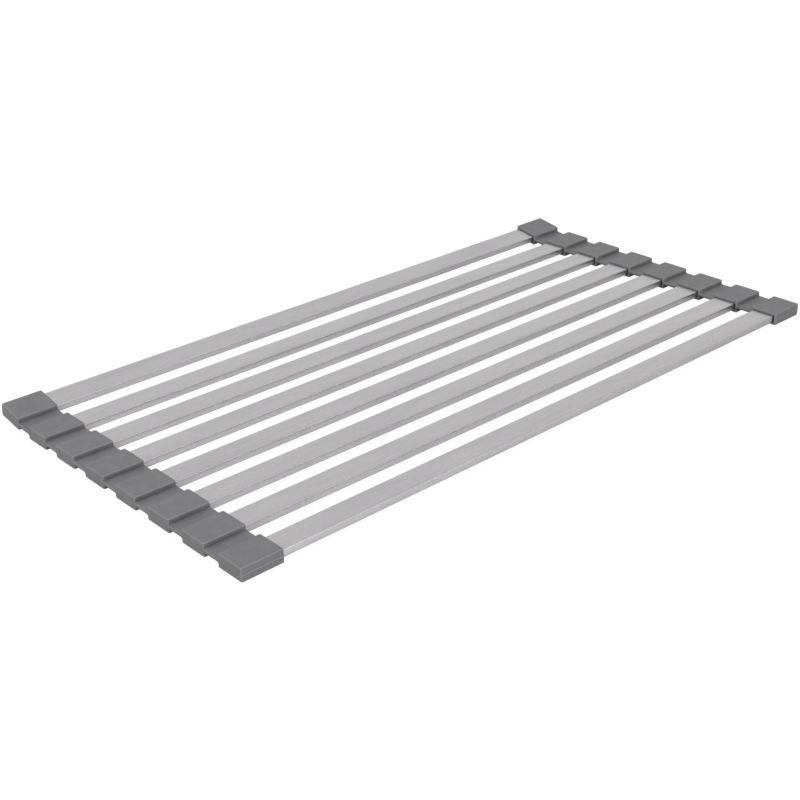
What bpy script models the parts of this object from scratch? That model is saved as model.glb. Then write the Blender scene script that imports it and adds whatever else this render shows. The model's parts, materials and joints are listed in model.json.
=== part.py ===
"""Over-sink dish rack: eight flat steel tubes held side by side by two bendable silicone end strips.

Metres, +Z up. X runs along the tubes, Y across them, and the rack stands on z = 0.
Tube 8 lies at -Y and is the fixed one. Tube 1, at +Y, is the free end, and it lifts a little.
"""

import math

import bmesh
import bpy
from mathutils import Vector

TUBE_COUNT = 8
RACK_LENGTH = 0.450

TUBE_WIDTH = 0.0153
TUBE_HEIGHT = 0.0049
TUBE_WALL = 0.0005
TUBE_BORE_ROUND = 0.0003
TUBE_CORNER_ROUND = TUBE_BORE_ROUND + TUBE_WALL

# Air between a tube and its socket, and between a web and its block
SOCKET_CLEARANCE = 0.0003
WEB_CLEARANCE = 0.0003

# Each strip is a row of blocks, one on each tube end, with a bendable web between neighbours
SOCKET_DEPTH = 0.0215
END_WALL = 0.0040
SIDE_WALL = 0.00155
COVER_WALL = 0.0013
BLOCK_LENGTH = SOCKET_DEPTH + END_WALL
BLOCK_WIDTH = TUBE_WIDTH + 2 * (SOCKET_CLEARANCE + SIDE_WALL)
BLOCK_HEIGHT = TUBE_HEIGHT + 2 * (SOCKET_CLEARANCE + COVER_WALL)
BLOCK_TOP_ROUND = 0.0006
BLOCK_FOOT_ROUND = 0.0010
BLOCK_CORNER_ROUND = 0.0008
WEB_SPAN = 0.0110
WEB_THICKNESS = 0.0018
WEB_ROOT_ROUND = 0.0003
TUBE_PITCH = BLOCK_WIDTH + WEB_SPAN

# Curl that storage in a roll has left in the web next to tube 1, in degrees
FREE_END_LIFT = 9.5

ROUND_STEPS = 3
CORNER_STEPS = 3
WEB_STEPS = 6

STEEL = {"color": (0.52, 0.51, 0.52, 1.0), "roughness": 0.34, "metallic": 1.0}
SILICONE = {"color": (0.20, 0.20, 0.205, 1.0), "roughness": 0.62, "metallic": 0.0}


def clear_scene():
    for obj in list(bpy.data.objects):
        bpy.data.objects.remove(obj, do_unlink=True)


def make_material(name, look):
    material = bpy.data.materials.new(name)
    material.use_nodes = True
    shader = material.node_tree.nodes["Principled BSDF"]
    shader.inputs["Base Color"].default_value = look["color"]
    shader.inputs["Roughness"].default_value = look["roughness"]
    shader.inputs["Metallic"].default_value = look["metallic"]
    return material


def rounded_rectangle(width, height, corner, steps=CORNER_STEPS):
    """Points of a rectangle about the origin with round corners, anticlockwise."""
    points = []
    for quarter in range(4):
        side_x = 1 if quarter in (0, 3) else -1
        side_y = 1 if quarter in (0, 1) else -1
        centre = Vector((side_x * (width / 2 - corner), side_y * (height / 2 - corner)))
        for step in range(steps + 1):
            angle = math.radians(90) * (quarter + step / steps)
            points.append(centre + corner * Vector((math.cos(angle), math.sin(angle))))
    return points


def loft(rings, name, capped=True):
    """Closed skin over rings of equal point counts, with the first and last ring filled or joined."""
    mesh = bpy.data.meshes.new(name)
    bm = bmesh.new()
    loops = [[bm.verts.new(point) for point in ring] for ring in rings]
    pairs = list(zip(loops, loops[1:]))
    if not capped:
        pairs.append((loops[-1], loops[0]))
    for lower, upper in pairs:
        for here in range(len(lower)):
            there = (here + 1) % len(lower)
            bm.faces.new((lower[here], lower[there], upper[there], upper[here]))
    if capped:
        bm.faces.new(reversed(loops[0]))
        bm.faces.new(loops[-1])
    bmesh.ops.recalc_face_normals(bm, faces=bm.faces)
    bm.to_mesh(mesh)
    bm.free()
    mesh.shade_smooth()
    mesh.set_sharp_from_angle(angle=math.radians(35))
    return mesh


def quarter_steps(radius):
    """(distance in from the edge, distance from the flat) down a quarter round of this radius."""
    turns = [math.radians(90) * step / ROUND_STEPS for step in range(ROUND_STEPS + 1)]
    return [(radius * (1 - math.sin(turn)), radius * (1 - math.cos(turn))) for turn in turns]


def block_mesh():
    """A block about its centre: rounded plan, a larger round at its foot than at its top."""
    levels = [(inset, -BLOCK_HEIGHT / 2 + rise) for inset, rise in quarter_steps(BLOCK_FOOT_ROUND)]
    levels += [(inset, BLOCK_HEIGHT / 2 - drop) for inset, drop in reversed(quarter_steps(BLOCK_TOP_ROUND))]
    rings = []
    for inset, z in levels:
        plan = rounded_rectangle(BLOCK_LENGTH - 2 * inset, BLOCK_WIDTH - 2 * inset, BLOCK_CORNER_ROUND)
        rings.append([(point.x, point.y, z) for point in plan])
    return loft(rings, "block")


def tube_length():
    return RACK_LENGTH - 2 * (END_WALL + SOCKET_CLEARANCE)


def tube_mesh():
    """A rectangular tube about its centre, along X and open at both ends."""
    outer = rounded_rectangle(TUBE_WIDTH, TUBE_HEIGHT, TUBE_CORNER_ROUND)
    inner = rounded_rectangle(TUBE_WIDTH - 2 * TUBE_WALL, TUBE_HEIGHT - 2 * TUBE_WALL, TUBE_BORE_ROUND)
    half = tube_length() / 2
    rings = [[(x, point.x, point.y) for point in outline] for x, outline in
             ((-half, outer), (half, outer), (half, inner), (-half, inner))]
    return loft(rings, "tube", capped=False)


def socket_space_mesh():
    """The room of one tube with its clearance, which cuts the sockets into both of its blocks."""
    section = rounded_rectangle(TUBE_WIDTH + 2 * SOCKET_CLEARANCE, TUBE_HEIGHT + 2 * SOCKET_CLEARANCE,
                                TUBE_CORNER_ROUND + SOCKET_CLEARANCE)
    half = RACK_LENGTH / 2 - END_WALL
    return loft([[(x, point.x, point.y) for point in section] for x in (-half, half)], "socket_space")


def web_mesh(bend):
    """A web about its fold axis, bent by this angle. Its thickness flares into a round at both blocks."""
    reach = WEB_SPAN / 2 - WEB_CLEARANCE
    start = Vector((-reach, 0))
    end = Vector((reach * math.cos(bend), reach * math.sin(bend)))
    root_share = WEB_ROOT_ROUND / (2 * reach)
    shares = [root_share * step / ROUND_STEPS for step in range(ROUND_STEPS + 1)]
    shares += [root_share + (1 - 2 * root_share) * step / WEB_STEPS for step in range(1, WEB_STEPS)]
    shares += [1 - share for share in reversed(shares[:ROUND_STEPS + 1])]
    rings = []
    for share in shares:
        centre = (1 - share) ** 2 * start + share ** 2 * end
        across = Vector((-math.sin(share * bend), math.cos(share * bend)))
        from_root = min(share, 1 - share, root_share) / root_share
        flare = WEB_ROOT_ROUND * (1 - math.sqrt(1 - (1 - from_root) ** 2))
        half = WEB_THICKNESS / 2 + flare
        low, high = centre - half * across, centre + half * across
        rings.append([(side * BLOCK_LENGTH / 2, corner.x, corner.y)
                      for side, corner in ((-1, low), (1, low), (1, high), (-1, high))])
    return loft(rings, "web")


def place(name, mesh, material, parent, location):
    obj = bpy.data.objects.new(name, mesh)
    bpy.context.scene.collection.objects.link(obj)
    if not mesh.materials:
        mesh.materials.append(material)
    obj.parent = parent
    obj.location = location
    return obj


def place_block(name, mesh, material, parent, x, socket_space):
    block = place(name, mesh, material, parent, (x, TUBE_PITCH / 2, 0))
    cut = block.modifiers.new("socket", "BOOLEAN")
    cut.operation = "DIFFERENCE"
    cut.object = socket_space
    return block


def fold_axes():
    """One empty for each tube, on the axis about which it folds from its neighbour, each carried by the last."""
    lift = math.radians(FREE_END_LIFT)
    foot = Vector((WEB_SPAN / 2 + BLOCK_WIDTH - BLOCK_FOOT_ROUND, BLOCK_HEIGHT / 2 - BLOCK_FOOT_ROUND))
    far_side = foot.x * math.cos(lift) + foot.y * math.sin(lift) + BLOCK_FOOT_ROUND
    across = (TUBE_COUNT - 1) * TUBE_PITCH - WEB_SPAN / 2 + far_side
    axes = {}
    parent = None
    for number in range(TUBE_COUNT, 0, -1):
        axis = bpy.data.objects.new(f"fold_axis_{number}", None)
        axis.empty_display_size = TUBE_PITCH / 2
        bpy.context.scene.collection.objects.link(axis)
        axis.parent = parent
        axis.location = (0, TUBE_PITCH, 0) if parent else (0, -(across + WEB_SPAN) / 2, BLOCK_HEIGHT / 2)
        axes[number] = parent = axis
    axes[1].rotation_euler.x = lift
    return axes


def build():
    clear_scene()
    steel = make_material("brushed_steel", STEEL)
    silicone = make_material("grey_silicone", SILICONE)
    tube, block, space = tube_mesh(), block_mesh(), socket_space_mesh()
    axes = fold_axes()
    block_x = (RACK_LENGTH - BLOCK_LENGTH) / 2
    for number, axis in axes.items():
        centre = (0, TUBE_PITCH / 2, 0)
        place(f"bar_{number}", tube, steel, axis, centre)
        cutter = place(f"socket_space_{number}", space, silicone, axis, centre)
        cutter.hide_render = True
        cutter.display_type = "WIRE"
        place_block(f"left_block_{number}", block, silicone, axis, -block_x, cutter)
        place_block(f"right_block_{number}", block, silicone, axis, block_x, cutter)
    flat_web, lifted_web = web_mesh(0.0), web_mesh(math.radians(FREE_END_LIFT))
    for number in range(1, TUBE_COUNT):
        web = lifted_web if number == 1 else flat_web
        for side, x in (("left", -block_x), ("right", block_x)):
            place(f"{side}_web_{number}", web, silicone, axes[number + 1], (x, TUBE_PITCH, 0))


build()
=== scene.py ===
# Over-sink dish rack: brushed steel tubes held side by side by two bendable silicone end strips.
# Metres. X runs along the tubes, Y across them, and the rack lies on z = 0.
import json
import math

import bmesh
import bpy
from mathutils import Matrix, Vector

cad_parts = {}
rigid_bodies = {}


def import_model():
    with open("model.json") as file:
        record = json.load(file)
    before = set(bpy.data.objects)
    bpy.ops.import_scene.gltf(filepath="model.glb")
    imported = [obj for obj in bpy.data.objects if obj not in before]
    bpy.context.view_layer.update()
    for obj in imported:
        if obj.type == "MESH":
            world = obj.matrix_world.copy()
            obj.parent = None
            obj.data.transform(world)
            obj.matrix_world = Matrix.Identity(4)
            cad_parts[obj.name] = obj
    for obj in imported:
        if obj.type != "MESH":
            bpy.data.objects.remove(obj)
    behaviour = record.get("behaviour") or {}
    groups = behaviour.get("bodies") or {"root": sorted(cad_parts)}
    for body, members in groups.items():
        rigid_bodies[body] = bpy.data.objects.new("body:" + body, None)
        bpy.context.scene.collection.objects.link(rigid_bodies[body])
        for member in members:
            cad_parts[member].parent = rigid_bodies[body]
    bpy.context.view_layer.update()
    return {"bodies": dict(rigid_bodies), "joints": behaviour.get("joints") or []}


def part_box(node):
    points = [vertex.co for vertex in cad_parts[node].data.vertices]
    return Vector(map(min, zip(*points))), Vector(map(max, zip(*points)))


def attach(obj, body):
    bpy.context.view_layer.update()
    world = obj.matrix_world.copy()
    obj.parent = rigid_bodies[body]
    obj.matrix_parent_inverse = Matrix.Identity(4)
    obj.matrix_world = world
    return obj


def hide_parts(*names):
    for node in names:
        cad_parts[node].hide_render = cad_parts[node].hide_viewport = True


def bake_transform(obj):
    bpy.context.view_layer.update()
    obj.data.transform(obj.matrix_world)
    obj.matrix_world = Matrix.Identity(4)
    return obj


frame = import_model()
mm = 0.001
rightAngle = math.radians(90)
joints = {joint["name"]: joint for joint in frame["joints"]}
tubeCount = len(frame["bodies"])
print(f"Frame loaded: {tubeCount} bodies, {len(joints)} joints")


# Helpers


class Wire:
    # One output of a node: sums, products and comparisons of it make further nodes

    def __init__(self, graph, socket):
        self.graph = graph
        self.socket = socket

    def maths(self, operation, *others):
        values = dict(enumerate((self, *others)))
        return self.graph.node("ShaderNodeMath", {"operation": operation}, values)

    def __add__(self, other):
        return self.maths("ADD", other)

    def __radd__(self, other):
        return self.maths("ADD", other)

    def __mul__(self, other):
        return self.maths("MULTIPLY", other)

    def __rmul__(self, other):
        return self.maths("MULTIPLY", other)

    def __sub__(self, other):
        return self.maths("SUBTRACT", other)

    def __rsub__(self, other):
        return self.graph.node("ShaderNodeMath", {"operation": "SUBTRACT"}, {0: other, 1: self})

    def __truediv__(self, other):
        return self.maths("DIVIDE", other)

    def __neg__(self):
        return self.maths("MULTIPLY", -1.0)

    def __abs__(self):
        return self.maths("ABSOLUTE")

    def __lt__(self, other):
        return self.maths("LESS_THAN", other)

    def __gt__(self, other):
        return self.maths("GREATER_THAN", other)

    def atLeast(self, other):
        return self.maths("MAXIMUM", other)

    def atMost(self, other):
        return self.maths("MINIMUM", other)

    def sign(self):
        return self.maths("SIGN")

    def root(self):
        return self.maths("SQRT")

    def sine(self):
        return self.maths("SINE")

    def cosine(self):
        return self.maths("COSINE")

    def tangent(self):
        return self.maths("TANGENT")

    def clipped(self, low, high):
        return self.atLeast(low).atMost(high)


class Graph:
    # A node tree that is written from inside to outside

    def __init__(self, tree):
        self.tree = tree

    def node(self, kind, settings=None, values=None, output=0):
        made = self.tree.nodes.new(kind)
        for name, setting in (settings or {}).items():
            setattr(made, name, setting)
        for name, value in (values or {}).items():
            self.feed(made.inputs[name], value)
        return Wire(self, made.outputs[output])

    def endWith(self, kind, socket, value):
        self.feed(self.tree.nodes.new(kind).inputs[socket], value)

    def feed(self, socket, value):
        if isinstance(value, Wire):
            self.tree.links.new(value.socket, socket)
        elif isinstance(value, list):
            for one in value:
                self.feed(socket, one)
        else:
            socket.default_value = value

    def xyz(self, x=0.0, y=0.0, z=0.0):
        return self.node("ShaderNodeCombineXYZ", None, {0: x, 1: y, 2: z})

    def split(self, vector):
        parts = self.node("ShaderNodeSeparateXYZ", None, {0: vector})
        return [Wire(self, socket) for socket in parts.socket.node.outputs]

    def blendColours(self, share, first, second):
        # A Mix node keeps its colours in these inputs and this output
        values = {0: share, 6: first, 7: second}
        return self.node("ShaderNodeMix", {"data_type": "RGBA"}, values, output=2)


def addObject(name, data):
    made = bpy.data.objects.new(name, data)
    bpy.context.scene.collection.objects.link(made)
    return made


def emptyGraph(owner):
    # The node tree of a new material or world, with nothing in it
    owner.use_nodes = True
    owner.node_tree.nodes.clear()
    return Graph(owner.node_tree)


socketKinds = {float: "NodeSocketFloat", Vector: "NodeSocketVector"}


def geometryTree(name, sizes):
    # An empty Geometry Nodes tree with a named input for each size, and wires from those inputs
    tree = bpy.data.node_groups.new(name, "GeometryNodeTree")
    tree.interface.new_socket("Geometry", in_out="OUTPUT", socket_type="NodeSocketGeometry")
    for label, value in sizes.items():
        socket = tree.interface.new_socket(label, in_out="INPUT", socket_type=socketKinds[type(value)])
        socket.default_value = value
    tree.interface.new_socket("finish", in_out="INPUT", socket_type="NodeSocketMaterial")
    graph = Graph(tree)
    start = tree.nodes.new("NodeGroupInput")
    wires = {socket.name: Wire(graph, socket) for socket in start.outputs if socket.name}
    return graph, wires


def endTree(graph, wires, shape):
    # Puts the drawn shape in its place, and gives it its finish
    turn = graph.xyz(wires["tilt"])
    placed = graph.node("GeometryNodeTransform", None,
                        {"Geometry": shape, "Translation": wires["centre"], "Rotation": turn})
    real = graph.node("GeometryNodeRealizeInstances", None, {0: placed})
    finished = graph.node("GeometryNodeSetMaterial", None, {"Geometry": real, "Material": wires["finish"]})
    graph.endWith("NodeGroupOutput", 0, finished)


def grow(name, tree, values):
    # Runs a tree once, and keeps its result as a plain mesh
    piece = addObject(name, bpy.data.meshes.new(name))
    modifier = piece.modifiers.new("grow", "NODES")
    modifier.node_group = tree
    for item in tree.interface.items_tree:
        if item.in_out == "INPUT" and item.name in values:
            modifier[item.identifier] = values[item.name]
    bpy.context.view_layer.update()
    evaluated = piece.evaluated_get(bpy.context.evaluated_depsgraph_get())
    mesh = bpy.data.meshes.new_from_object(evaluated)
    piece.modifiers.remove(modifier)
    mesh.name = name
    piece.data = mesh
    cleanUp(mesh)
    return piece


weldDistance = 0.002 * mm
sharpFrom = math.radians(40)


def cleanUp(mesh):
    # Closes the seams, faces everything outwards and shades the rounds smooth
    shape = bmesh.new()
    shape.from_mesh(mesh)
    bmesh.ops.remove_doubles(shape, verts=shape.verts, dist=weldDistance)
    bmesh.ops.recalc_face_normals(shape, faces=shape.faces)
    shape.to_mesh(mesh)
    shape.free()
    mesh.shade_smooth()
    mesh.set_sharp_from_angle(angle=sharpFrom)


# Places, all from the frame


def foldAxis(number):
    # The line about which a tube folds from the one before it, which lies at -Y
    if number < tubeCount:
        return Vector(joints[f"web_fold_{number}"]["pos_m"])
    return 2 * foldAxis(number - 1) - foldAxis(number - 2)


def restLift(number):
    # A fold's lower limit is where it lies flat, so that limit says how far it is lifted at rest
    if number < tubeCount:
        return -math.radians(joints[f"web_fold_{number}"]["range_deg"][0])
    return 0.0


def seat(number, x=0.0):
    # The middle of a tube, or of a block on it
    pitch = foldAxis(1).y - foldAxis(2).y
    return foldAxis(number) + Matrix.Rotation(restLift(number), 3, "X") @ Vector((x, pitch / 2, 0))


def boxSize(node):
    low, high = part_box(node)
    return high - low


# Finishes


def newFinish(name, look):
    # A material whose plain values sit on the shader's own sockets
    material = bpy.data.materials.new(name)
    material.use_nodes = True
    shader = material.node_tree.nodes["Principled BSDF"]
    for label, value in look.items():
        shader.inputs[label].default_value = value
    return material, Graph(material.node_tree), shader


def grain(graph, place, stretch, detail):
    # Noise with its own number of features per metre along each axis
    stretched = graph.node("ShaderNodeVectorMath", {"operation": "MULTIPLY"}, {0: place, 1: stretch})
    values = {"Vector": stretched, "Scale": 1.0, "Detail": detail, "Roughness": 0.5}
    return graph.node("ShaderNodeTexNoise", None, values)


def relief(graph, height, depth):
    return graph.node("ShaderNodeBump", None, {"Height": height, "Distance": depth, "Strength": 1.0})


noiseMiddle = 0.5
steelLook = {
    "brightTone": (0.520, 0.509, 0.517, 1.0),
    "darkTone": (0.406, 0.396, 0.407, 1.0),
    "fineInTone": 0.45,
    "broadInTone": 0.2,
    "cloudInTone": 0.35,
    "toneOffset": 0.32,
    "toneContrast": 2.8,
    "roughness": 0.30,
    "roughnessSpread": 0.08,
    "fineStreaks": (320.0, 3600.0, 3600.0),  # features per metre along each axis
    "broadStreaks": (30.0, 900.0, 900.0),
    "clouds": (16.0, 80.0, 80.0),
    "fineInRelief": 0.6,
    "broadInRelief": 0.4,
    "scratchDepth": 0.004 * mm,
}


def brushedSteel():
    look = steelLook
    material, graph, shader = newFinish("brushedSteel", {"Metallic": 1.0})
    place = graph.node("ShaderNodeTexCoord", output="Object")
    fine = grain(graph, place, look["fineStreaks"], detail=1.0)
    broad = grain(graph, place, look["broadStreaks"], detail=2.0)
    cloud = grain(graph, place, look["clouds"], detail=3.0)
    mixed = look["fineInTone"] * fine + look["broadInTone"] * broad + look["cloudInTone"] * cloud
    tone = (mixed - look["toneOffset"]) * look["toneContrast"]
    colour = graph.blendColours(tone.clipped(0.0, 1.0), look["darkTone"], look["brightTone"])
    graph.feed(shader.inputs["Base Color"], colour)
    uneven = (0.5 * fine + 0.5 * broad - noiseMiddle) * look["roughnessSpread"]
    graph.feed(shader.inputs["Roughness"], look["roughness"] + uneven)
    height = look["fineInRelief"] * fine + look["broadInRelief"] * broad
    graph.feed(shader.inputs["Normal"], relief(graph, height, look["scratchDepth"]))
    return material


siliconeLook = {
    "darkTone": (0.173, 0.173, 0.179, 1.0),
    "brightTone": (0.213, 0.213, 0.219, 1.0),
    # The colour of the painted highlight on rounded edges and the mould seam
    "edgeHighlightTone": (0.300, 0.300, 0.306, 1.0),
    "mottleInTone": 0.6,
    "speckleInTone": 0.4,
    "toneOffset": 0.35,
    "toneContrast": 3.0,
    "edgeHighlightCover": 0.35,
    "speckleInHighlight": 0.4,
    "specular": 0.35,
    "roughness": 0.58,
    "roughnessSpread": 0.14,
    "mottle": (140.0, 140.0, 140.0),  # features per metre along each axis
    "speckle": (1500.0, 1500.0, 1500.0),
    "skin": (3600.0, 3600.0, 3600.0),
    "skinDepth": 0.012 * mm,
}


def greySilicone():
    look = siliconeLook
    plain = {"Metallic": 0.0, "Specular IOR Level": look["specular"]}
    material, graph, shader = newFinish("greySilicone", plain)
    place = graph.node("ShaderNodeTexCoord", output="Object")
    mottle = grain(graph, place, look["mottle"], detail=3.0)
    speckle = grain(graph, place, look["speckle"], detail=2.0)
    skin = grain(graph, place, look["skin"], detail=2.0)
    mixed = look["mottleInTone"] * mottle + look["speckleInTone"] * speckle
    tone = (mixed - look["toneOffset"]) * look["toneContrast"]
    body = graph.blendColours(tone.clipped(0.0, 1.0), look["darkTone"], look["brightTone"])
    # Rounded edges and the mould seam get a paler colour: a painted highlight, broken up by the speckle
    edgeHighlightMask = graph.node("ShaderNodeAttribute", {"attribute_name": "paintedEdgeHighlight"}, output="Fac")
    paintedHighlightShare = edgeHighlightMask * (look["edgeHighlightCover"] + look["speckleInHighlight"] * speckle)
    colour = graph.blendColours(paintedHighlightShare, body, look["edgeHighlightTone"])
    graph.feed(shader.inputs["Base Color"], colour)
    roughness = look["roughness"] + (mottle - noiseMiddle) * look["roughnessSpread"]
    graph.feed(shader.inputs["Roughness"], roughness)
    graph.feed(shader.inputs["Normal"], relief(graph, skin, look["skinDepth"]))
    return material


steelFinish = brushedSteel()
siliconeFinish = greySilicone()
print("Finishes ready: brushed steel and grey silicone")


# Rounding that all pieces share


tiny = 1e-9  # keeps a divisor above zero
nearMiddle = 1e-3
beforeRound = -0.01  # a step below this lies on the flat


def clusterSteps(share, steps, radius, margin):
    # How far past the start of a round a step lies: the first one on the flat, the rest at even angles
    turn = (share * steps - 1.0) / (steps - 1.0)
    onFlat = turn < beforeRound
    return radius * (turn.atLeast(0.0) * (rightAngle / 2)).tangent() - margin * onFlat


def edgeShare(side, steps, middleSpans=1):
    # 0 on the middle spans of a side that has as many more spans as steps at each end, and 1 at its ends
    middle = middleSpans / (2 * steps + middleSpans)
    return ((abs(side) - middle) / (1.0 - middle)).atLeast(0.0)


def roundOff(first, second):
    # Moves a point of a square corner onto the round, and says how near it is to the round's middle
    a = first.atLeast(0.0)
    b = second.atLeast(0.0)
    reach = a.atLeast(b).atLeast(tiny)
    ratio = reach / (a * a + b * b).root().atLeast(tiny)
    return a * ratio, b * ratio, a.atMost(b) / reach


def sideOf(place):
    # -1, 0 or 1, and 0 for a point that is on the middle but for its last digits
    return (place / nearMiddle).clipped(-1.0, 1.0)


def markEdge(graph, shape, edgeHighlightMask):
    # Stores each point's share of the silicone's painted highlight
    values = {"Geometry": shape, "Name": "paintedEdgeHighlight", "Value": edgeHighlightMask}
    return graph.node("GeometryNodeStoreNamedAttribute", {"data_type": "FLOAT", "domain": "POINT"}, values)


def moveTo(graph, shape, x, y, z=0.0):
    values = {"Geometry": shape, "Position": graph.xyz(x, y, z)}
    return graph.node("GeometryNodeSetPosition", None, values)


def roundedOutline(graph, width, height, corner, margin, steps, crown=0.0):
    # A rectangle with round corners, as a curve with a point on the flat beside each round
    # Its narrow sides bulge a little, by the crown
    square = graph.node("GeometryNodeCurvePrimitiveQuadrilateral", None, {"Width": 2.0, "Height": 2.0})
    square = graph.node("GeometryNodeResampleCurve", None, {"Curve": square, "Count": 4 * (2 * steps + 2)})
    u, v, level = graph.split(graph.node("GeometryNodeInputPosition"))
    acrossX = clusterSteps(edgeShare(u, steps, 2), steps, corner, margin)
    acrossY = clusterSteps(edgeShare(v, steps, 2), steps, corner, margin)
    roundX, roundY, edge = roundOff(acrossX, acrossY)
    high = height / 2 - corner + acrossY.atMost(0.0) + roundY
    drawnIn = crown * (2.0 * high / height) * (2.0 * high / height) * (abs(v) > nearMiddle)
    x = sideOf(u) * (width / 2 - corner + acrossX.atMost(0.0) + roundX - drawnIn)
    y = sideOf(v) * high
    # Its rounds are marked for painted highlight
    return moveTo(graph, markEdge(graph, square, edge), x, y)


# The tubes, one tree for all


tube = {
    "length": boxSize("bar_4").x,
    "width": boxSize("bar_4").y,
    "height": boxSize("bar_4").z,
    "wall": 0.5 * mm,
    "cornerRound": 0.8 * mm,
    "boreRound": 0.3 * mm,
    "edgeMargin": 0.15 * mm,
    "sideCrown": 0.2 * mm,
}
tubeRoundSteps = 6
tubeLengthSteps = 24
upright = (rightAngle, 0, rightAngle)  # turns a section drawn on XY so that it faces along X


def tubeTree():
    graph, wires = geometryTree("steelTube", dict(tube, centre=Vector(), tilt=0.0))
    half = wires["length"] / 2
    wall = wires["wall"]
    outer = roundedOutline(graph, wires["width"], wires["height"], wires["cornerRound"],
                           wires["edgeMargin"], tubeRoundSteps, wires["sideCrown"])
    inner = roundedOutline(graph, wires["width"] - 2 * wall, wires["height"] - 2 * wall, wires["boreRound"],
                           wires["edgeMargin"], tubeRoundSteps)
    line = graph.node("GeometryNodeCurvePrimitiveLine", None,
                      {"Start": graph.xyz(-half), "End": graph.xyz(half)})
    line = graph.node("GeometryNodeResampleCurve", None, {"Curve": line, "Count": tubeLengthSteps + 1})
    skins = [graph.node("GeometryNodeCurveToMesh", None, {"Curve": line, "Profile Curve": outline})
             for outline in (outer, inner)]
    both = graph.node("GeometryNodeJoinGeometry", None, {0: [outer, inner]})
    rim = graph.node("GeometryNodeFillCurve", {"mode": "TRIANGLES"}, {"Curve": both})
    rims = [graph.node("GeometryNodeTransform", None,
                       {"Geometry": rim, "Translation": graph.xyz(end), "Rotation": upright})
            for end in (half, -half)]
    endTree(graph, wires, graph.node("GeometryNodeJoinGeometry", None, {0: skins + rims}))
    return graph.tree


steelTube = tubeTree()
for number in range(1, tubeCount + 1):
    values = {"centre": seat(number), "tilt": restLift(number), "finish": steelFinish}
    piece = grow(f"steel_tube_{number}", steelTube, values)
    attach(piece, f"slat_{number}")
    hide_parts(f"bar_{number}")
print(f"Tubes ready: {tubeCount}")


# The blocks on the tube ends, one tree for all


sideAir = 0.3 * mm
topAir = 0.03 * mm
block = {
    "length": boxSize("left_block_4").x,
    "width": boxSize("left_block_4").y,
    "height": boxSize("left_block_4").z,
    "cornerRound": 1.0 * mm,
    "topRound": 0.6 * mm,
    "footRound": 0.95 * mm,
    "edgeMargin": 0.3 * mm,
    "socketDepth": 21.5 * mm,
    "socketWidth": tube["width"] + 2 * sideAir,
    "socketHeight": tube["height"] + 2 * topAir,
    "socketCorner": 0.95 * mm,
    "mouthFlare": 0.25 * mm,
    "topFlareShare": 0.3,
    "draft": math.tan(math.radians(1.3)),
    "seamRadius": 0.22 * mm,
    "seamRise": 0.09 * mm,
}
# How strongly the seam bead gets painted highlight
seamHighlight = 2.0
blockSteps = 5
mouthSteps = 4
socketRoundSteps = 3
seamSides = 8
overrun = 4.0 * mm  # how far the cut runs on past the mouth
halfStep = 0.5  # between one step of the cut and the next
onFrom = 0.5  # a switch of 0 or 1 counts as on from here


def roundedBlock(graph, wires):
    # A cube of fine rims, moved onto a block with round corners, a small top round and a larger foot round
    # It is widest at mid height, where the mould parts
    rims = 2 * blockSteps + 2
    cube = graph.node("GeometryNodeMeshCube", None, {"Size": (2.0, 2.0, 2.0), "Vertices X": rims,
                                                     "Vertices Y": rims, "Vertices Z": rims + 1})
    u, v, w = graph.split(graph.node("GeometryNodeInputPosition"))
    corner = wires["cornerRound"]
    margin = wires["edgeMargin"]
    acrossX = clusterSteps(edgeShare(u, blockSteps), blockSteps, corner, margin)
    acrossY = clusterSteps(edgeShare(v, blockSteps), blockSteps, corner, margin)
    planX, planY, planEdge = roundOff(acrossX, acrossY)
    out = (planX * planX + planY * planY).root().atLeast(tiny)
    edge = wires["footRound"] + (wires["topRound"] - wires["footRound"]) * (w > 0.0)
    up = clusterSteps(edgeShare(w, blockSteps, 2), blockSteps, edge, margin)
    rimOut, rimUp, rimEdge = roundOff(out - (corner - edge), up)
    newOut = out.atMost(corner - edge) + rimOut
    ratio = newOut / out
    high = wires["height"] / 2 - edge + up.atMost(0.0) + rimUp
    z = w.sign() * high
    drawnIn = abs(z) * wires["draft"]
    seamRoom = wires["seamRise"] * (v * wires["seamSide"] > onFrom)
    x = u.sign() * (wires["length"] / 2 - corner + acrossX.atMost(0.0) + planX * ratio - drawnIn)
    y = v.sign() * (wires["width"] / 2 - corner + acrossY.atMost(0.0) + planY * ratio - drawnIn - seamRoom)
    # The rounds get painted highlight, most at their middles
    edgeHighlightMask = rimEdge.atLeast(planEdge * newOut / corner)
    return moveTo(graph, markEdge(graph, cube, edgeHighlightMask), x, y, z)


def socketRoom(graph, wires):
    # The room of the tube's end, which widens in a small round at its mouth
    outline = roundedOutline(graph, wires["socketWidth"], wires["socketHeight"], wires["socketCorner"],
                             wires["edgeMargin"], socketRoundSteps)
    count = mouthSteps + 2
    line = graph.node("GeometryNodeCurvePrimitiveLine", None,
                      {"Start": (0.0, 0.0, 0.0), "End": (count, 0.0, 0.0)})
    line = graph.node("GeometryNodeResampleCurve", None, {"Curve": line, "Count": count + 1})
    room = graph.node("GeometryNodeCurveToMesh", None,
                      {"Curve": line, "Profile Curve": outline, "Fill Caps": True})
    step, y, z = graph.split(graph.node("GeometryNodeInputPosition"))
    flare = wires["mouthFlare"]
    turn = ((step - 1.0) / mouthSteps).clipped(0.0, 1.0) * rightAngle
    deep = (step < halfStep) * (wires["socketDepth"] - flare)
    x = wires["length"] / 2 - flare + flare * turn.sine() - deep + (step > count - halfStep) * overrun
    sideY = (abs(y) - (wires["socketWidth"] / 2 - wires["socketCorner"])).atLeast(0.0)
    sideZ = (abs(z) - (wires["socketHeight"] / 2 - wires["socketCorner"])).atLeast(0.0)
    grown = flare * (1.0 - turn.cosine()) / (sideY * sideY + sideZ * sideZ).root().atLeast(tiny)
    upGrown = grown * wires["topFlareShare"]
    return moveTo(graph, room, x, y + y.sign() * sideY * grown, z + z.sign() * sideZ * upGrown)


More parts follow.
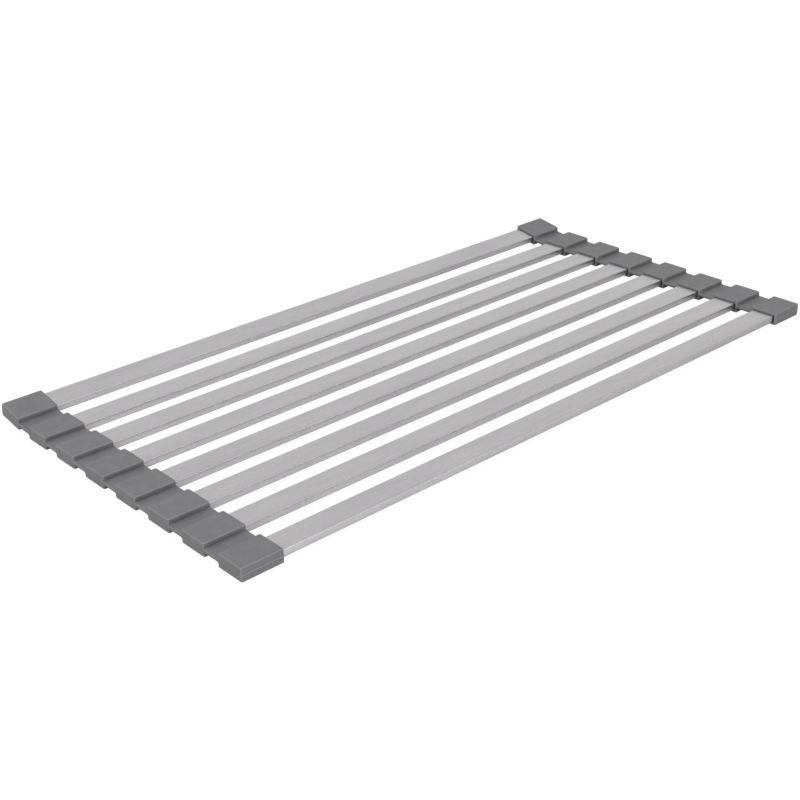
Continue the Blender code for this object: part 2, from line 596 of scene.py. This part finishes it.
def seamLine(graph, wires):
    # The thin line that the two halves of the mould leave along the strip's outermost sides
    half = wires["length"] / 2 - wires["cornerRound"]
    side = wires["seamSide"] * (wires["width"] / 2 - wires["seamRadius"])
    line = graph.node("GeometryNodeCurvePrimitiveLine", None,
                      {"Start": graph.xyz(-half, side), "End": graph.xyz(half, side)})
    circle = graph.node("GeometryNodeCurvePrimitiveCircle", None,
                        {"Resolution": seamSides, "Radius": wires["seamRadius"]})
    bead = graph.node("GeometryNodeCurveToMesh", None,
                      {"Curve": line, "Profile Curve": circle, "Fill Caps": True})
    # The seam bead gets a stronger painted highlight than the edges
    pale = markEdge(graph, bead, seamHighlight)
    return graph.node("GeometryNodeSwitch", {"input_type": "GEOMETRY"},
                      {"Switch": abs(wires["seamSide"]) > onFrom, "True": pale})


def blockTree():
    graph, wires = geometryTree("endBlock", dict(block, seamSide=0.0, turn=0.0, centre=Vector(), tilt=0.0))
    hollow = graph.node("GeometryNodeMeshBoolean", {"operation": "DIFFERENCE", "solver": "EXACT"},
                        {"Mesh 1": roundedBlock(graph, wires), "Mesh 2": socketRoom(graph, wires)})
    turned = graph.node("GeometryNodeTransform", None,
                        {"Geometry": hollow, "Rotation": graph.xyz(0.0, 0.0, wires["turn"])})
    parts = [turned, seamLine(graph, wires)]
    endTree(graph, wires, graph.node("GeometryNodeJoinGeometry", None, {0: parts}))
    return graph.tree


endBlock = blockTree()
blockX = abs(sum(corner.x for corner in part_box("left_block_4"))) / 2
outermost = {1: 1.0, tubeCount: -1.0}
for number in range(1, tubeCount + 1):
    for side, x, turn in (("left", -blockX, 0.0), ("right", blockX, 2 * rightAngle)):
        values = {"centre": seat(number, x), "tilt": restLift(number), "turn": turn,
                  "seamSide": outermost.get(number, 0.0), "finish": siliconeFinish}
        piece = grow(f"{side}_end_block_{number}", endBlock, values)
        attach(piece, f"slat_{number}")
        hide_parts(f"{side}_block_{number}")
print(f"End blocks ready: {2 * tubeCount}")


# The webs between the blocks, one tree for all


webRootRound = 0.3 * mm
webInset = 0.02 * mm  # how far a web's two edges stay behind the blocks' faces
web = {
    "length": block["length"] - 2 * webInset,
    "span": foldAxis(1).y - foldAxis(2).y - block["width"],
    "thickness": boxSize("left_web_4").z - 2 * webRootRound,
    "edgeRound": 0.35 * mm,
    "rootRound": webRootRound,
    "edgeMargin": 0.15 * mm,
    "overlap": 0.95 * mm,
}
webEdgeSteps = 4
webMiddleSteps = 10
webRootSteps = 4


def webTree():
    # A flat cube of fine rims: its ends flare into the blocks and run on a little inside them
    graph, wires = geometryTree("bendWeb", dict(web, bend=0.0, centre=Vector(), tilt=0.0))
    rims = 2 * webEdgeSteps + 2
    halfCount = webMiddleSteps + webRootSteps + 1
    size = (2.0, 2.0 * halfCount, 2.0)
    cube = graph.node("GeometryNodeMeshCube", None, {"Size": size, "Vertices X": rims,
                                                     "Vertices Y": 2 * halfCount + 1, "Vertices Z": rims})
    u, v, w = graph.split(graph.node("GeometryNodeInputPosition"))
    step = abs(v)
    straight = wires["span"] / 2 - wires["rootRound"]
    turn = ((step - webMiddleSteps) / webRootSteps).clipped(0.0, 1.0) * rightAngle
    inside = (step - (halfCount - 1)).atLeast(0.0) * wires["overlap"]
    middle = straight * (step / webMiddleSteps).atMost(1.0)
    half = wires["thickness"] / 2 + wires["rootRound"] * (1.0 - turn.cosine())
    reach = middle + wires["rootRound"] * turn.sine() + inside
    edge = wires["edgeRound"]
    across = clusterSteps(edgeShare(u, webEdgeSteps), webEdgeSteps, edge, wires["edgeMargin"])
    up = clusterSteps(edgeShare(w, webEdgeSteps), webEdgeSteps, edge, wires["edgeMargin"])
    # The edge rounds get painted highlight, most at their middles
    rimOut, rimUp, edgeHighlightMask = roundOff(across, up)
    x = u.sign() * (wires["length"] / 2 - edge + across.atMost(0.0) + rimOut)
    high = w.sign() * (half - edge + up.atMost(0.0) + rimUp)
    bend = wires["bend"]
    share = (v.sign() * reach / straight / 2 + 0.5).clipped(0.0, 1.0)
    past = v.sign() * (reach - straight).atLeast(0.0)
    before = -straight * (1.0 - share) * (1.0 - share)
    after = straight * share * share
    angle = share * bend
    y = before + after * bend.cosine() + past * angle.cosine() - high * angle.sine()
    z = after * bend.sine() + past * angle.sine() + high * angle.cosine()
    endTree(graph, wires, moveTo(graph, markEdge(graph, cube, edgeHighlightMask), x, y, z))
    return graph.tree


bendWeb = webTree()
bendReach = web["span"] / 2 - web["rootRound"]
for number in range(1, tubeCount):
    lift = restLift(number)
    for side, x in (("left", -blockX), ("right", blockX)):
        middle = foldAxis(number) + Vector((x, 0, 0))
        piece = grow(f"{side}_bend_web_{number}", bendWeb,
                     {"centre": middle, "bend": lift, "finish": siliconeFinish})
        far = bendReach * Vector((0, math.cos(lift), math.sin(lift)))
        middle - Vector((0, bendReach, 0))
        middle + far
        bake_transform(piece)
        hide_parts(f"{side}_web_{number}")
print(f"Webs ready: {2 * tubeCount - 2}")


# The studio


white = (1.0, 1.0, 1.0, 1.0)
studio = {
    "floorSize": 8.0,
    "floorGap": 0.02 * mm,
    "floorTone": 0.15,  # what the floor throws back onto the rack
    "floorToneSeen": 1.17,
    "floorToneGain": 0.75,  # how much paler it is shown a metre away, so that it ends in white
    "floorFade": 0.75,  # the share of that tone that reflections lose for each metre to the right
    "floorFadeRange": (0.5, 1.5),
    "floorWhiteSeen": 0.95,
    "floorWhiteMirrored": 0.15,
    "skyShade": 0.2,  # how much darker the sky is in reflections, in front and to the right
    "lowGlow": 1.7,  # how much brighter it is in reflections, low down in front and a little to the right
    "glowPlace": 0.42,
    "glowReach": 0.26,
    "glowTop": 0.45,
    "glowEdge": 3.0,
    "lowSkyLight": 0.18,
    "highSkyLight": 0.70,  # what is added straight above
    "sideSoftbox": {"size": (2.0, 1.5), "place": (-1.48, -0.15, 0.80), "radiance": 1.52},
    "lowSoftbox": {"size": (0.7, 0.2), "place": (-0.12, -1.0, 0.1), "radiance": 9.2},
}


def raysThatSee(graph):
    # 1 on the rays that show the background: to the camera, off metal and through glass
    sockets = graph.node("ShaderNodeLightPath").socket.node.outputs
    names = ("Is Camera Ray", "Is Glossy Ray", "Is Transmission Ray")
    return [Wire(graph, sockets[name]) for name in names]


def addFloor():
    mesh = bpy.data.meshes.new("floor")
    half = studio["floorSize"] / 2
    corners = [(x * half, y * half, -studio["floorGap"]) for x, y in ((-1, -1), (1, -1), (1, 1), (-1, 1))]
    mesh.from_pydata(corners, [], [(0, 1, 2, 3)])
    floor = addObject("floor", mesh)
    material = bpy.data.materials.new("paleFloor")
    graph = emptyGraph(material)
    camera, mirrored, through = raysThatSee(graph)
    seen = (camera + mirrored + through).atMost(1.0)
    x, y = graph.split(graph.node("ShaderNodeTexCoord", output="Object"))[:2]
    share = (camera + through) * studio["floorWhiteSeen"] + mirrored * studio["floorWhiteMirrored"]
    away = (x * x + y * y).root().atMost(1.0)
    shown = studio["floorToneSeen"] * (1.0 + studio["floorToneGain"] * away)
    # Painted shade: in reflections the floor turns darker towards the right, standing in for weaker light
    # there
    faded = studio["floorToneSeen"] * (1.0 - studio["floorFade"] * x).clipped(*studio["floorFadeRange"])
    tone = (1.0 - seen) * studio["floorTone"] + (seen - mirrored) * shown + mirrored * faded
    pale = graph.node("ShaderNodeBsdfDiffuse", None, {"Color": tone})
    bright = graph.node("ShaderNodeEmission", None, {"Color": white, "Strength": 1.0})
    surface = graph.node("ShaderNodeMixShader", None, {0: share.atMost(1.0), 1: pale, 2: bright})
    graph.endWith("ShaderNodeOutputMaterial", "Surface", surface)
    mesh.materials.append(material)


def addSky():
    # White to look at, partly shaded and with a low glow in reflections, and weaker as a light on the rack
    world = bpy.data.worlds.new("studioSky")
    graph = emptyGraph(world)
    camera, mirrored, through = raysThatSee(graph)
    shown = (camera + through).atMost(1.0)
    x, y, z = graph.split(graph.node("ShaderNodeTexCoord", output="Generated"))
    shade = studio["skyShade"] * x.atLeast(0.0) * (-y).atLeast(0.0)
    beside = (1.0 - abs(x - studio["glowPlace"]) / studio["glowReach"]).atLeast(0.0) * (y < 0.0)
    low = (studio["glowEdge"] * (1.0 - z / studio["glowTop"])).clipped(0.0, 1.0)
    glow = studio["lowGlow"] * beside * low
    light = studio["lowSkyLight"] + studio["highSkyLight"] * z.atLeast(0.0)
    strength = shown + mirrored * (1.0 - shade + glow) + (1.0 - shown - mirrored).atLeast(0.0) * light
    sky = graph.node("ShaderNodeBackground", None, {"Color": white, "Strength": strength})
    graph.endWith("ShaderNodeOutputWorld", "Surface", sky)
    bpy.context.scene.world = world


def addSoftbox(name, look):
    # A lamp that faces the rack's middle
    width, height = look["size"]
    lamp = bpy.data.lights.new(name, "AREA")
    lamp.shape = "RECTANGLE"
    lamp.size = width
    lamp.size_y = height
    lamp.energy = look["radiance"] * math.pi * width * height
    holder = addObject(name, lamp)
    place = Vector(look["place"])
    holder.location = place
    holder.rotation_euler = (-place).to_track_quat("-Z", "Y").to_euler()
    holder.visible_glossy = False  # the sky alone makes the reflections


addFloor()
addSky()
for name in ("sideSoftbox", "lowSoftbox"):
    addSoftbox(name, studio[name])
print("Studio ready")


# The camera, as in the photo


photoView = {
    "pictureSize": 800,
    "focalPixels": 1388.24,
    "azimuth": math.radians(-41.663),
    "elevation": math.radians(26.376),
    "roll": math.radians(-1.308),
    "target": Vector((-0.0500, -0.0305, 0.00405)),
    "distance": 0.79905,
    "nearest": 0.01,
}


def addCamera():
    view = photoView
    lens = bpy.data.cameras.new("photoCamera")
    lens.sensor_fit = "HORIZONTAL"
    lens.lens = view["focalPixels"] * lens.sensor_width / view["pictureSize"]
    lens.clip_start = view["nearest"]
    azimuth, elevation = view["azimuth"], view["elevation"]
    back = Vector((math.sin(azimuth) * math.cos(elevation), -math.cos(azimuth) * math.cos(elevation),
                   math.sin(elevation)))
    right = Vector((math.cos(azimuth), math.sin(azimuth), 0))
    up = back.cross(right)
    turned = Matrix((right, up, back)).transposed() @ Matrix.Rotation(view["roll"], 3, "Z")
    camera = addObject("photoCamera", lens)
    camera.matrix_world = Matrix.Translation(view["target"] + back * view["distance"]) @ turned.to_4x4()
    bpy.context.scene.camera = camera


addCamera()
bpy.context.scene.view_settings.view_transform = "Standard"
print("Camera ready")
